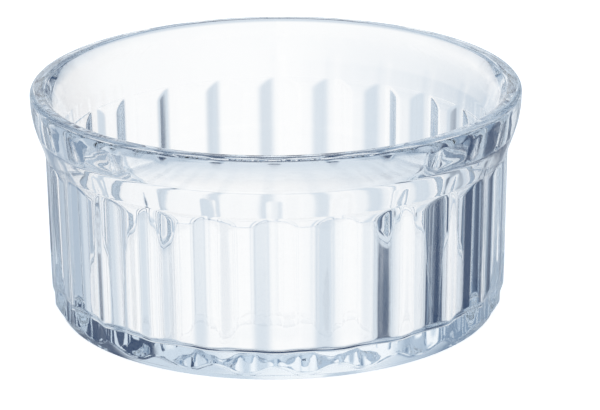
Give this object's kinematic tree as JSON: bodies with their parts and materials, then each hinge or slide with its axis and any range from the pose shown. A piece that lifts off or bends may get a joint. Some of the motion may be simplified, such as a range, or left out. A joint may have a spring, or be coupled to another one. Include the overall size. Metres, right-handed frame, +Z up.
{
  "type": "creme brulee dish",
  "caption": "Round ramekin of clear pressed glass with a smooth inside, broad vertical ribs round the outside wall and a thickened rim.",
  "frame": {"origin": "middle of the standing ring, on the surface that the dish stands on", "axes": "+Z up along the dish's axis, +X through the middle of one rib"},
  "size_m": [0.1, 0.1, 0.047],
  "materials": {
    "clear_glass": "polished clear pressed glass with a faint cool tint"
  },
  "bodies": {
    "root": {"fluted_glass_dish": "clear_glass"}
  },
  "joints": []
}
